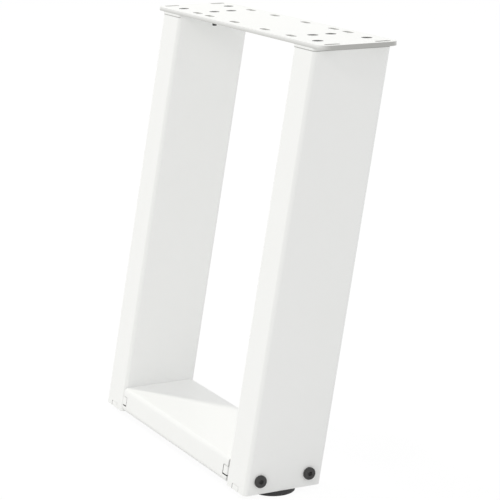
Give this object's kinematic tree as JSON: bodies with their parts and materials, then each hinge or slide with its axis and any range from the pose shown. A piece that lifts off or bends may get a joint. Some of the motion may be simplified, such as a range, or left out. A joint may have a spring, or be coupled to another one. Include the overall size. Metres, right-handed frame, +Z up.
{
  "type": "u shaped table leg",
  "caption": "U shaped steel table leg: slotted mount plate, two forward-leaning box posts and a low box bar bolted between them, on round black glides.",
  "frame": {"origin": "middle of the mount plate's top face, which goes against the underside of the table", "axes": "+X along the mount plate from the left post to the right post, +Y from the front, towards which the posts lean, to the back, +Z up out of the mount plate into the table"},
  "size_m": [0.36, 0.15, 0.42],
  "materials": {
    "white_coat": "white powder coat, fine satin texture",
    "black_steel": "black oxide, satin",
    "zinc_steel": "bright zinc",
    "black_plastic": "moulded, matt"
  },
  "bodies": {
    "root": {"cross_bar": "white_coat", "left_bar_end_plate": "white_coat", "left_flange": "white_coat", "left_foot_plate": "white_coat", "left_front_bar_bolt": "black_steel", "left_glide": "black_plastic", "left_glide_stud": "zinc_steel", "left_post": "white_coat", "left_post_front_nut": "white_coat", "left_post_front_screw": "black_steel", "left_post_rear_nut": "white_coat", "left_post_rear_screw": "black_steel", "left_rear_bar_bolt": "black_steel", "left_tongue_front_nut": "white_coat", "left_tongue_front_screw": "black_steel", "left_tongue_rear_nut": "white_coat", "left_tongue_rear_screw": "black_steel", "right_bar_end_plate": "white_coat", "right_flange": "white_coat", "right_foot_plate": "white_coat", "right_front_bar_bolt": "black_steel", "right_glide": "black_plastic", "right_glide_stud": "zinc_steel", "right_post": "white_coat", "right_post_front_nut": "white_coat", "right_post_front_screw": "black_steel", "right_post_rear_nut": "white_coat", "right_post_rear_screw": "black_steel", "right_rear_bar_bolt": "black_steel", "right_tongue_front_nut": "white_coat", "right_tongue_front_screw": "black_steel", "right_tongue_rear_nut": "white_coat", "right_tongue_rear_screw": "black_steel", "top_plate": "white_coat"}
  },
  "joints": []
}
